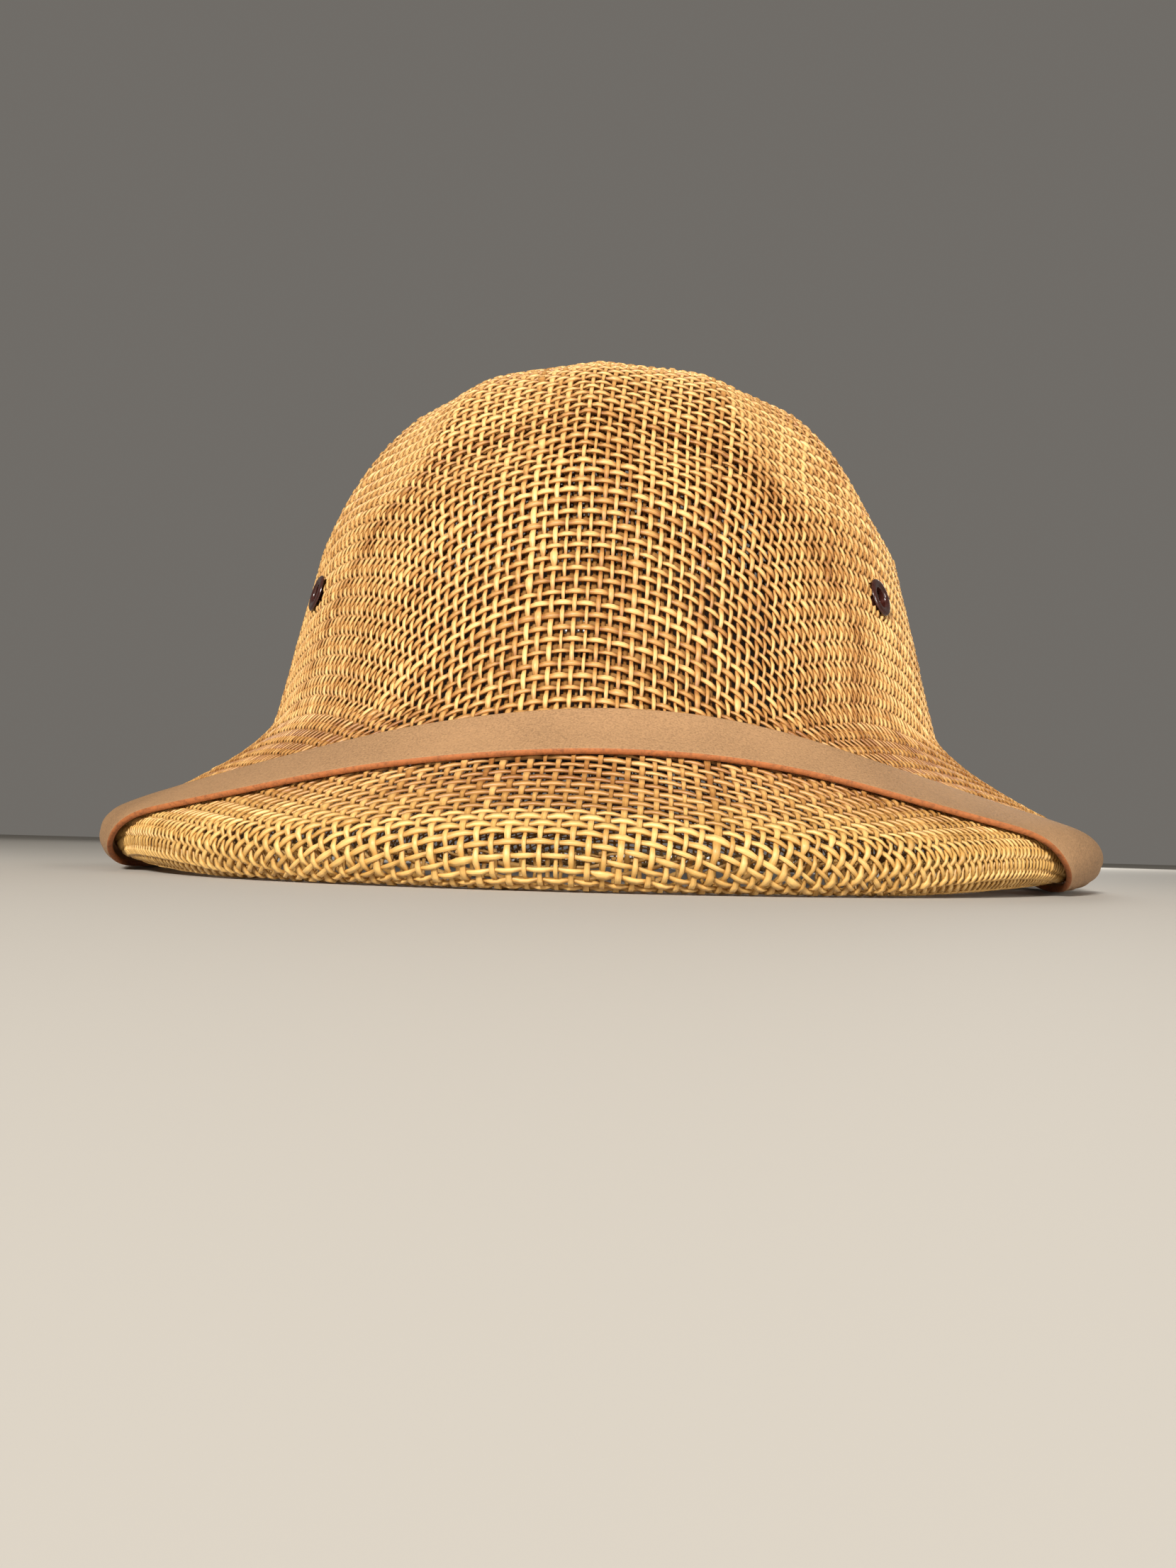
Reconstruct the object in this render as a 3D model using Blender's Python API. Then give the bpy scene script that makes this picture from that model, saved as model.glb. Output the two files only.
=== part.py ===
"""Woven straw sun helmet: a leather strap over the brim, two vent eyelets and a sweatband on posts.

Metres, +Z up, the front of the hat faces -Y, and the rim rests on z = 0.
"""

import math

import bmesh
import bpy
import numpy as np
from mathutils import Matrix, Vector

# Shell, metres
WALL = 0.0020
BASE_HALF_W = 0.1129
BASE_HALF_L = 0.1264
BASE_Z = 0.0462
CROWN_H = 0.1270
RIM_HALF_W = 0.1575
RIM_HALF_L = 0.1780
RIM_ROLL_R = 0.0075
RIM_SLOPE_DEG = 28.0
SIDE_LIFT = 0.0029
HEM = 0.0050
RIDGE_COUNT = 12
RIDGE_DEPTH = 0.034
COLUMNS = 60

# Strap, metres
STRAP_W = 0.0190
STRAP_T = 0.0016
STRAP_SKEW_DEG = 7.0
STRAP_SKEW_END_DEG = 60.0
SEAT_GAP = 0.0003
STRAP_END_Z = 0.0760
STRAP_CLEAR = 0.00025
STRAP_RIM_CLEAR = 0.0003
STRAP_RIM_LOOSE = 0.0012
STRAP_LEAD_IN = 0.0205
STRAP_LEAD_DROP = 0.0042
STRAP_TURN_IN = 0.0120
STRAP_TURN_DROP = 0.0160
STRAP_WALL_CLEAR = 0.0003
MEASURE_STEP = 0.0012
STRAP_STATIONS = 88

# Eyelets, metres and degrees
EYELET_R = 0.0058
EYELET_HOLE_R = 0.0030
EYELET_BARREL_R = 0.0036
EYELET_LIP = 0.0011
EYELET_CLEAR = 0.0002
EYELET_AZ_DEG = 55.0
EYELET_Z = 0.0853

# Sweatband and its posts, metres
BAND_HALF_W = 0.0810
BAND_HALF_L = 0.1005
BAND_BOTTOM_Z = 0.0430
BAND_H = 0.0430
BAND_T = 0.0016
POST_R = 0.0030
POST_Z = 0.0660
POST_SLOPE_CLEAR = 0.0009

# Share of CROWN_H, share of the base half-widths
CROWN_PROFILE = (
    (1.000, 0.000),
    (0.983, 0.180),
    (0.955, 0.325),
    (0.900, 0.480),
    (0.820, 0.632),
    (0.720, 0.734),
    (0.620, 0.804),
    (0.530, 0.853),
    (0.460, 0.880),
    (0.360, 0.907),
    (0.240, 0.939),
    (0.120, 0.968),
    (0.000, 1.000),
)

# Share of the overhang outward, share of the drop
BRIM_PROFILE = (
    (0.00, 0.00),
    (0.10, 0.17),
    (0.25, 0.36),
    (0.50, 0.60),
    (0.75, 0.81),
    (1.00, 1.00),
)

# Azimuth from the front in degrees, share of the way from base to rim of the strap's middle line
STRAP_PATH = (
    (0.0, 0.27),
    (15.0, 0.33),
    (27.0, 0.465),
    (36.0, 0.635),
    (45.0, 0.85),
    (52.0, 1.085),
    (57.5, 1.39),
    (61.0, 1.55),
    (64.0, 1.66),
    (69.0, 1.83),
    (74.0, 1.99),
    (78.0, 2.11),
    (81.5, 2.30),
    (84.5, 2.54),
    (87.2, 2.80),
    (89.2, 3.05),
    (90.0, 3.35),
    (90.0, 4.00),
)


def smooth(value):
    value = np.clip(value, 0.0, 1.0)
    return value * value * (3.0 - 2.0 * value)


def curve(rows, share):
    """Point at a share of the length of a smooth line through the rows."""
    table = np.array(rows, dtype=float)
    steps = np.hypot(*np.diff(table, axis=0).T)
    length = np.concatenate([[0.0], np.cumsum(steps)])
    at = np.asarray(share, dtype=float) * length[-1]
    i = np.clip(np.searchsorted(length, at, side="right") - 1, 0, len(length) - 2)
    h = length[i + 1] - length[i]
    q = (at - length[i]) / h
    out = []
    for column in table.T:
        slope = np.gradient(column, length)
        value = (2 * q**3 - 3 * q**2 + 1) * column[i] + (q**3 - 2 * q**2 + q) * h * slope[i]
        value = value + (3 * q**2 - 2 * q**3) * column[i + 1] + (q**3 - q**2) * h * slope[i + 1]
        out.append(value)
    return out


def oval(half_w, half_l, z, az):
    """Point on an oval at an azimuth measured from the front towards +X."""
    return np.stack([half_w * np.sin(az), -half_l * np.cos(az), z + 0.0 * az], -1)


def rim_lift(az):
    """The rim rises at both sides so that the strap passes under it."""
    return SIDE_LIFT * smooth((np.abs(np.sin(az)) - 0.5) / 0.45)


def crown_point(share, az):
    """Crown from the apex (0) to its base (1), with soft ridges above the belt line."""
    height, radius = curve(CROWN_PROFILE, share)
    fade = smooth((height - 0.46) / 0.14)
    wave = np.sqrt(np.sin(0.5 * RIDGE_COUNT * az) ** 2 + 0.04)
    radius = radius * (1.0 - RIDGE_DEPTH * fade * (wave - 0.2) / 0.82)
    return oval(BASE_HALF_W * radius, BASE_HALF_L * radius, BASE_Z + CROWN_H * height, az)


def roll_point(angle, az, out=0.0):
    """Rolled rim: angle of the surface normal from straight up, with an outward offset."""
    r = RIM_ROLL_R + out
    w = RIM_HALF_W - RIM_ROLL_R + r * np.sin(angle)
    length = RIM_HALF_L - RIM_ROLL_R + r * np.sin(angle)
    return oval(w, length, rim_lift(az) + RIM_ROLL_R + r * np.cos(angle), az)


def brim_point(share, az):
    """Brim from the crown base (0) to the start of the rolled rim (1)."""
    out, drop = curve(BRIM_PROFILE, share)
    edge = math.radians(RIM_SLOPE_DEG)
    inset = RIM_ROLL_R * (1.0 - math.sin(edge))
    w = BASE_HALF_W + (RIM_HALF_W - inset - BASE_HALF_W) * out
    length = BASE_HALF_L + (RIM_HALF_L - inset - BASE_HALF_L) * out
    end_z = rim_lift(az) + RIM_ROLL_R * (1.0 + math.cos(edge))
    return oval(w, length, BASE_Z + (end_z - BASE_Z) * drop, az)


def skin_point(s, az):
    """Outer skin: 0-1 crown, 1-2 brim, 2-3 rolled rim, 3-4 flat hem."""
    if s <= 1.0:
        return crown_point(s, az)
    if s <= 2.0:
        return brim_point(s - 1.0, az)
    if s <= 3.0:
        edge = math.radians(RIM_SLOPE_DEG)
        return roll_point(edge + (math.pi - edge) * (s - 2.0), az)
    inset = RIM_ROLL_R + HEM * (s - 3.0)
    return oval(RIM_HALF_W - inset, RIM_HALF_L - inset, rim_lift(az), az)


def unit(vectors):
    return vectors / np.linalg.norm(vectors, axis=-1, keepdims=True)


def grid_normals(grid):
    """Outward normals of a closed grid whose rows run from the apex to the hem."""
    around = np.roll(grid, -1, axis=1) - np.roll(grid, 1, axis=1)
    along = np.gradient(grid, axis=0)
    return unit(np.cross(along, around))


def add_object(name, vertices, faces, material, shade_smooth=True):
    mesh = bpy.data.meshes.new(name)
    mesh.from_pydata([tuple(map(float, v)) for v in vertices], [], faces)
    mesh.validate()
    work = bmesh.new()
    work.from_mesh(mesh)
    bmesh.ops.recalc_face_normals(work, faces=work.faces)
    if work.calc_volume(signed=True) < 0.0:
        bmesh.ops.reverse_faces(work, faces=work.faces)
    work.to_mesh(mesh)
    work.free()
    for polygon in mesh.polygons:
        polygon.use_smooth = shade_smooth
    mesh.materials.append(material)
    item = bpy.data.objects.new(name, mesh)
    bpy.context.scene.collection.objects.link(item)
    return item


def make_material(name, color, roughness, metallic=0.0):
    material = bpy.data.materials.new(name)
    material.use_nodes = True
    shader = material.node_tree.nodes["Principled BSDF"]
    shader.inputs["Base Color"].default_value = (*color, 1.0)
    shader.inputs["Roughness"].default_value = roughness
    shader.inputs["Metallic"].default_value = metallic
    return material


def tube_faces(rows, columns, wrap_rows):
    """Quads of a grid that is closed round its columns, and round its rows if asked."""
    faces = []
    last = rows if wrap_rows else rows - 1
    for i in range(last):
        for j in range(columns):
            a = i * columns + j
            b = i * columns + (j + 1) % columns
            k = (i + 1) % rows
            faces.append((a, b, k * columns + (j + 1) % columns, k * columns + j))
    return faces


def build_shell(material):
    az = np.radians(np.arange(COLUMNS) * 360.0 / COLUMNS)
    crown = np.linspace(0.0, 1.0, 17)[1:]
    brim = 1.0 + np.linspace(0.0, 1.0, 7)[1:]
    roll = 2.0 + np.linspace(0.0, 1.0, 8)[1:]
    rows = np.concatenate([crown, brim, roll, [4.0]])
    outer = np.stack([skin_point(s, az) for s in rows])
    normals = grid_normals(outer)
    inner = outer - normals * WALL
    hem = outer[-1].copy()
    hem[:, 2] += WALL
    inner[-1] = hem
    apex = np.array([0.0, 0.0, BASE_Z + CROWN_H])
    loops = np.concatenate([outer, inner[::-1]])
    count = len(loops)
    vertices = list(loops.reshape(-1, 3)) + [apex, apex - np.array([0.0, 0.0, WALL])]
    faces = tube_faces(count, COLUMNS, False)
    top = count * COLUMNS
    bottom = top + 1
    for j in range(COLUMNS):
        k = (j + 1) % COLUMNS
        faces.append((top, k, j))
        faces.append((bottom, (count - 1) * COLUMNS + j, (count - 1) * COLUMNS + k))
    shell = add_object("woven_shell", vertices, faces, material)
    for side in (-1.0, 1.0):
        point, normal = eyelet_seat(side)
        hole_r = EYELET_BARREL_R + SEAT_GAP
        hole = cylinder("eyelet_hole_cutter", hole_r, 10.0 * WALL, point, normal, material, 24)
        cut(shell, hole)
    return shell


def eyelet_seat(side):
    """Point and outward normal of the shell where an eyelet sits."""
    az = math.radians(EYELET_AZ_DEG) * side
    shares = np.linspace(0.3, 1.0, 1401)
    heights = np.array([crown_point(s, np.array(az))[2] for s in shares])
    share = float(shares[np.abs(heights - EYELET_Z).argmin()])
    point = crown_point(share, np.array(az))
    down = crown_point(share + 0.02, np.array(az)) - crown_point(share - 0.02, np.array(az))
    around = crown_point(share, np.array(az + 0.04)) - crown_point(share, np.array(az - 0.04))
    return Vector(point), Vector(unit(np.cross(down, around)))


def frame_at(point, normal):
    """Matrix that takes local +Z to the normal at the point."""
    turn = Vector((0.0, 0.0, 1.0)).rotation_difference(normal)
    return Matrix.Translation(point) @ turn.to_matrix().to_4x4()


def cylinder(name, radius, length, point, normal, material, sides):
    matrix = frame_at(point, normal)
    vertices = []
    for z in (-0.5 * length, 0.5 * length):
        for k in range(sides):
            a = 2.0 * math.pi * k / sides
            vertices.append(matrix @ Vector((radius * math.cos(a), radius * math.sin(a), z)))
    faces = [tuple(range(sides)), tuple(range(2 * sides - 1, sides - 1, -1))]
    for k in range(sides):
        n = (k + 1) % sides
        faces.append((k, n, n + sides, k + sides))
    return add_object(name, vertices, faces, material, False)


def cut(target, cutter):
    """Subtract the cutter from the target, then remove it."""
    cutter.hide_render = True
    cutter.display_type = "WIRE"
    step = target.modifiers.new("hole", "BOOLEAN")
    step.operation = "DIFFERENCE"
    step.solver = "EXACT"
    step.object = cutter
    graph = bpy.context.evaluated_depsgraph_get()
    mesh = bpy.data.meshes.new_from_object(target.evaluated_get(graph))
    target.modifiers.remove(step)
    old = target.data
    name = old.name
    target.data = mesh
    bpy.data.meshes.remove(old)
    mesh.name = name
    bpy.data.objects.remove(cutter)


def build_eyelet(name, side, material):
    """One rolled ring: outer lip, barrel through the shell, inner lip."""
    point, normal = eyelet_seat(side)
    matrix = frame_at(point, normal)
    seat = SEAT_GAP + EYELET_CLEAR
    low = -WALL - seat
    section = (
        (EYELET_HOLE_R, seat + 0.6 * EYELET_LIP),
        (0.5 * (EYELET_HOLE_R + EYELET_R), seat + EYELET_LIP),
        (0.95 * EYELET_R, seat + 0.6 * EYELET_LIP),
        (EYELET_R, seat),
        (EYELET_BARREL_R, seat),
        (EYELET_BARREL_R, low),
        (0.93 * EYELET_R, low),
        (0.86 * EYELET_R, low - 0.6 * EYELET_LIP),
        (EYELET_HOLE_R, low - 0.6 * EYELET_LIP),
    )
    sides = 20
    vertices = []
    for r, z in section:
        for k in range(sides):
            a = 2.0 * math.pi * k / sides
            vertices.append(matrix @ Vector((r * math.cos(a), r * math.sin(a), z)))
    return add_object(name, vertices, tube_faces(len(section), sides, True), material)


def strap_support(s, az):
    """Surface under the strap: 0-1 brim, 1-2 round the rim, 2-3 under the brim, 3-4 inner wall."""
    edge = math.radians(RIM_SLOPE_DEG)
    if s <= 1.0:
        return brim_point(max(s, 0.0), az)
    if s <= 2.0:
        loose = STRAP_RIM_CLEAR * smooth((s - 1.0) * 4.0)
        loose = loose + STRAP_RIM_LOOSE * math.sin(math.pi * (s - 1.0)) ** 2
        return roll_point(edge + (math.pi - edge) * (s - 1.0), az, loose)
    start = oval(RIM_HALF_W - RIM_ROLL_R, RIM_HALF_L - RIM_ROLL_R, rim_lift(az) - STRAP_RIM_CLEAR, az)
    lead_z = rim_lift(az) - STRAP_LEAD_DROP
    lead = oval(RIM_HALF_W - STRAP_LEAD_IN, RIM_HALF_L - STRAP_LEAD_IN, lead_z, az)
    turn = oval(BASE_HALF_W - STRAP_TURN_IN, BASE_HALF_L - STRAP_TURN_IN, BASE_Z - STRAP_TURN_DROP, az)
    wall_w = BASE_HALF_W * 0.985 - WALL - STRAP_WALL_CLEAR
    wall_l = BASE_HALF_L * 0.985 - WALL - STRAP_WALL_CLEAR
    low = oval(wall_w, wall_l, BASE_Z + 0.06 * CROWN_H, az)
    lean = (STRAP_END_Z - BASE_Z - 0.06 * CROWN_H) * 0.26
    high = oval(wall_w - lean, wall_l - lean, STRAP_END_Z, az)
    if s <= 3.0:
        t = s - 2.0
        a = (1 - t) ** 3
        b = 3 * t * (1 - t) ** 2
        c = 3 * t * t * (1 - t)
        return a * start + b * lead + c * turn + t**3 * low
    t = s - 3.0
    return low + (high - low) * t


def support_lengths():
    """Shares along the strap's support and the length to each, measured where it rounds the rim."""
    shares = np.linspace(0.0, 4.2, 1261)
    az = np.array(math.radians(64.0))
    points = np.array([strap_support(float(s), az) for s in shares])
    steps = np.linalg.norm(np.diff(points, axis=0), axis=1)
    return shares, np.concatenate([[0.0], np.cumsum(steps)])


SHARES, LENGTHS = support_lengths()


def support_at(length, az):
    return strap_support(float(np.interp(length, LENGTHS, SHARES)), az)


def strap_frame(length, az):
    """Support point, its rates along and around, and the normal away from the hat."""
    here = support_at(length, az)
    along = support_at(length + MEASURE_STEP, az) - support_at(length - MEASURE_STEP, az)
    around = support_at(length, az + 0.004) - support_at(length, az - 0.004)
    return here, along / (2.0 * MEASURE_STEP), around / 0.008, unit(np.cross(along, around))


def strap_skew(az):
    """The strap's high point lies a little to one side; the shift fades out towards both rims."""
    return math.radians(STRAP_SKEW_DEG) * (1.0 - float(smooth(az / math.radians(STRAP_SKEW_END_DEG))))


def strap_track(stations):
    """Evenly spaced stations (azimuth, length on the support) of the strap's middle line, end to end."""
    half = [(math.radians(a), float(np.interp(s, SHARES, LENGTHS)) / BASE_HALF_L) for a, s in STRAP_PATH]
    rows = [(strap_skew(a) - a, s) for a, s in half[:0:-1]]
    rows += [(strap_skew(a) + a, s) for a, s in half]
    fine = np.stack(curve(rows, np.linspace(0.0, 1.0, 2400)), -1)
    fine[:, 1] *= BASE_HALF_L
    points = np.array([support_at(s, np.array(a)) for a, s in fine])
    run = np.concatenate([[0.0], np.cumsum(np.linalg.norm(np.diff(points, axis=0), axis=1))])
    at = np.linspace(0.0, run[-1], stations)
    return np.interp(at, run, fine[:, 0]), np.interp(at, run, fine[:, 1])


def build_strap(material):
    az, share = strap_track(STRAP_STATIONS)
    sections = []
    widths = (-0.5, -0.3, -0.1, 0.1, 0.3, 0.5)
    for k in range(len(az)):
        i = max(k - 1, 0)
        j = min(k + 1, len(az) - 1)
        here, along, around, normal = strap_frame(share[k], np.array(az[k]))
        heading = unit(along * (share[j] - share[i]) + around * (az[j] - az[i]))
        across = unit(np.cross(normal, heading))
        basis = np.stack([along, around], -1)
        move = np.linalg.lstsq(basis, across, rcond=None)[0]
        inner = []
        outer = []
        for w in widths:
            s = share[k] + move[0] * w * STRAP_W
            a = az[k] + move[1] * w * STRAP_W
            spot, _, _, n = strap_frame(float(s), np.array(float(a)))
            inner.append(spot + n * (SEAT_GAP + STRAP_CLEAR))
            outer.append(spot + n * (SEAT_GAP + STRAP_CLEAR + STRAP_T))
        sections.append(np.array(inner + outer[::-1]))
    grid = np.array(sections)
    count, ring, _ = grid.shape
    faces = tube_faces(count, ring, False)
    faces.append(tuple(range(ring)))
    faces.append(tuple(range(count * ring - 1, (count - 1) * ring - 1, -1)))
    strap = add_object("chin_strap", grid.reshape(-1, 3), faces, material)
    for side in (-1.0, 1.0):
        spot = Vector((side * 0.92 * BASE_HALF_W, 0.0, POST_Z))
        way = Vector((1.0, 0.0, 0.0))
        hole = cylinder("strap_hole_cutter", POST_R + SEAT_GAP, 10.0 * POST_R, spot, way, material, 24)
        cut(strap, hole)
    return strap


def build_band(material):
    """Open oval band with a small roll at its lower edge."""
    section = (
        (0.0, BAND_BOTTOM_Z),
        (0.0, BAND_BOTTOM_Z + 0.5 * BAND_H),
        (0.0, BAND_BOTTOM_Z + BAND_H),
        (-BAND_T, BAND_BOTTOM_Z + BAND_H),
        (-BAND_T, BAND_BOTTOM_Z + 0.5 * BAND_H),
        (-BAND_T, BAND_BOTTOM_Z),
    )
    az = np.radians(np.arange(48) * 7.5)
    rings = [oval(BAND_HALF_W + off, BAND_HALF_L + off, z, az) for off, z in section]
    return add_object("sweatband", np.concatenate(rings), tube_faces(6, 48, True), material)


def build_post(name, az_deg, material):
    """Plain pin from the sweatband to the inside of the crown wall."""
    az = math.radians(az_deg)
    shares = np.linspace(0.5, 1.0, 1001)
    heights = np.array([crown_point(s, np.array(az))[2] for s in shares])
    wall = crown_point(float(shares[np.abs(heights - POST_Z).argmin()]), np.array(az))
    way = Vector((math.sin(az), -math.cos(az), 0.0))
    reach = math.hypot(wall[0], wall[1])
    band = math.hypot(BAND_HALF_W * math.sin(az), BAND_HALF_L * math.cos(az))
    start = band + SEAT_GAP
    end = reach - WALL - SEAT_GAP - POST_SLOPE_CLEAR
    middle = way * (0.5 * (start + end)) + Vector((0.0, 0.0, POST_Z))
    return cylinder(name, POST_R, end - start, middle, way, material, 20)


def main():
    for item in list(bpy.data.objects):
        bpy.data.objects.remove(item)
    straw = make_material("straw", (0.68, 0.46, 0.22), 0.72)
    leather = make_material("strap_leather", (0.50, 0.33, 0.19), 0.60)
    enamel = make_material("eyelet_enamel", (0.10, 0.03, 0.02), 0.30, 0.6)
    cloth = make_material("band_cloth", (0.10, 0.06, 0.04), 0.85)
    steel = make_material("post_metal", (0.35, 0.33, 0.30), 0.45, 0.9)
    build_shell(straw)
    build_strap(leather)
    build_eyelet("eyelet_left", -1.0, enamel)
    build_eyelet("eyelet_right", 1.0, enamel)
    build_band(cloth)
    build_post("post_left", -90.0, steel)
    build_post("post_right", 90.0, steel)
    build_post("post_front", 0.0, steel)
    build_post("post_back", 180.0, steel)


main()
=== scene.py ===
"""Looks of a woven straw sun helmet: each cord of the open weave, the strap, eyelets and sweatband."""

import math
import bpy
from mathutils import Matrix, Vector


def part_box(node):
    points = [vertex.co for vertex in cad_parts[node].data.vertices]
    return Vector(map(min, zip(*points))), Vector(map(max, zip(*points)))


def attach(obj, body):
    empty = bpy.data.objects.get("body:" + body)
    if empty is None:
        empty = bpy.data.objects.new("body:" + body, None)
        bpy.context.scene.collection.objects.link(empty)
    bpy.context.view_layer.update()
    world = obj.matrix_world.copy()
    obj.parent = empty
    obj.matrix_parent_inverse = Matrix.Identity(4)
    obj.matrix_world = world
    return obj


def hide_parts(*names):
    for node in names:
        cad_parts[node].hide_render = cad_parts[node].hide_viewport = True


bl_info = {
    "name": "Woven Sun Helmet",
    "version": (1, 0, 0),
    "blender": (4, 5, 0),
    "location": "View3D > Sidebar > Sun Helmet",
    "description": "Builds the straw weave, strap, eyelets and sweatband of a sun helmet",
    "category": "Object",
}

import bmesh
import bpy
import numpy as np
from bpy.props import FloatProperty, FloatVectorProperty, IntProperty, PointerProperty
from mathutils import Matrix, Vector

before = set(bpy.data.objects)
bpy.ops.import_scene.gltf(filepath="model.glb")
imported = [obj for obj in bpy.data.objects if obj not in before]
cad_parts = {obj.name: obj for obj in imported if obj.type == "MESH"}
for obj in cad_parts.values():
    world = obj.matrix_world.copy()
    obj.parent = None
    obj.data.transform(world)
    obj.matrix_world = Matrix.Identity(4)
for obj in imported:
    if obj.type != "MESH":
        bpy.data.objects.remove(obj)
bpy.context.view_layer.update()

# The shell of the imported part, metres
WALL = 0.0020
BASE_HALF_W = 0.1129
BASE_HALF_L = 0.1264
BASE_Z = 0.0462
CROWN_H = 0.1270
RIM_HALF_W = 0.1575
RIM_HALF_L = 0.1780
RIM_ROLL_R = 0.0075
RIM_SLOPE = math.radians(28.0)
SIDE_LIFT = 0.0029
HEM = 0.0050
RIDGE_COUNT = 12
RIDGE_DEPTH = 0.034

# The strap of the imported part, metres
STRAP_W = 0.0190
STRAP_T = 0.0016
STRAP_SKEW = math.radians(7.0)
STRAP_SKEW_END = math.radians(60.0)
STRAP_SEAT = 0.00055
STRAP_END_Z = 0.0760
STRAP_RIM_CLEAR = 0.0003
STRAP_RIM_LOOSE = 0.0012
STRAP_LEAD_IN = 0.0205
STRAP_LEAD_DROP = 0.0042
STRAP_TURN_IN = 0.0120
STRAP_TURN_DROP = 0.0160
STRAP_WALL_CLEAR = 0.0003
MEASURE_STEP = 0.0012

EYELET_AZ = math.radians(55.0)
EYELET_Z = 0.0853
EYELET_R = 0.0058
EYELET_HOLE_R = 0.0030
EYELET_BARREL_R = 0.0036
EYELET_SEAT = 0.0005
BAND_T = 0.0016

# The flat blank of weave before it is pressed: cords each side of the middle, half sizes in metres
CORDS_ACROSS = 96
CORDS_ALONG = 104
BLANK_HALF_W = 0.318
BLANK_HALF_L = 0.330
INNER_OVERLAP = 0.004

# The floor in metres, the camera's sensor in millimetres, its focal length and the frame in pixels
FLOOR_HALF = 6.0
FLOOR_Z = -0.0004
SENSOR_W = 36.0
FOCAL_PX = 1660.0
FRAME_W_PX = 1659.0

# Share of CROWN_H, share of the base half-widths
CROWN_PROFILE = (
    (1.000, 0.000),
    (0.983, 0.180),
    (0.955, 0.325),
    (0.900, 0.480),
    (0.820, 0.632),
    (0.720, 0.734),
    (0.620, 0.804),
    (0.530, 0.853),
    (0.460, 0.880),
    (0.360, 0.907),
    (0.240, 0.939),
    (0.120, 0.968),
    (0.000, 1.000),
)

# Share of the overhang outward, share of the drop
BRIM_PROFILE = (
    (0.00, 0.00),
    (0.10, 0.17),
    (0.25, 0.36),
    (0.50, 0.60),
    (0.75, 0.81),
    (1.00, 1.00),
)

# Azimuth from the front in degrees, share of the way from base to rim of the strap's middle line
STRAP_PATH = (
    (0.0, 0.27),
    (15.0, 0.33),
    (27.0, 0.465),
    (36.0, 0.635),
    (45.0, 0.85),
    (52.0, 1.085),
    (57.5, 1.39),
    (61.0, 1.55),
    (64.0, 1.66),
    (69.0, 1.83),
    (74.0, 1.99),
    (78.0, 2.11),
    (81.5, 2.30),
    (84.5, 2.54),
    (87.2, 2.80),
    (89.2, 3.05),
    (90.0, 3.35),
    (90.0, 4.00),
)

TABLE_STEP = 0.001
TABLE_AZIMUTHS = 360
CROWN_ROWS = 260


def smooth(value):
    value = np.clip(value, 0.0, 1.0)
    return value * value * (3.0 - 2.0 * value)


def unit(vectors):
    return vectors / (np.linalg.norm(vectors, axis=-1, keepdims=True) + 1e-15)


def curve(rows, share):
    """Point at a share of the length of a smooth line through the rows."""
    table = np.array(rows, dtype=float)
    steps = np.hypot(*np.diff(table, axis=0).T)
    length = np.concatenate([[0.0], np.cumsum(steps)])
    at = np.asarray(share, dtype=float) * length[-1]
    i = np.clip(np.searchsorted(length, at, side="right") - 1, 0, len(length) - 2)
    h = length[i + 1] - length[i]
    q = (at - length[i]) / h
    out = []
    for column in table.T:
        slope = np.gradient(column, length)
        value = (2 * q**3 - 3 * q**2 + 1) * column[i] + (q**3 - 2 * q**2 + q) * h * slope[i]
        value = value + (3 * q**2 - 2 * q**3) * column[i + 1] + (q**3 - q**2) * h * slope[i + 1]
        out.append(value)
    return out


def oval(half_w, half_l, z, az):
    return np.stack([half_w * np.sin(az), -half_l * np.cos(az), z + 0.0 * az], -1)


def rim_lift(az):
    return SIDE_LIFT * smooth((np.abs(np.sin(az)) - 0.5) / 0.45)


def crown_point(share, az):
    height, radius = curve(CROWN_PROFILE, share)
    fade = smooth((height - 0.46) / 0.14)
    wave = np.sqrt(np.sin(0.5 * RIDGE_COUNT * az) ** 2 + 0.01)
    radius = radius * (1.0 - RIDGE_DEPTH * fade * (wave - 0.1) / 0.905)
    return oval(BASE_HALF_W * radius, BASE_HALF_L * radius, BASE_Z + CROWN_H * height, az)


def roll_point(angle, az, out=0.0):
    r = RIM_ROLL_R + out
    w = RIM_HALF_W - RIM_ROLL_R + r * np.sin(angle)
    length = RIM_HALF_L - RIM_ROLL_R + r * np.sin(angle)
    return oval(w, length, rim_lift(az) + RIM_ROLL_R + r * np.cos(angle), az)


def brim_point(share, az):
    out, drop = curve(BRIM_PROFILE, share)
    inset = RIM_ROLL_R * (1.0 - math.sin(RIM_SLOPE))
    w = BASE_HALF_W + (RIM_HALF_W - inset - BASE_HALF_W) * out
    length = BASE_HALF_L + (RIM_HALF_L - inset - BASE_HALF_L) * out
    end_z = rim_lift(az) + RIM_ROLL_R * (1.0 + math.cos(RIM_SLOPE))
    return oval(w, length, BASE_Z + (end_z - BASE_Z) * drop, az)


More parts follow.
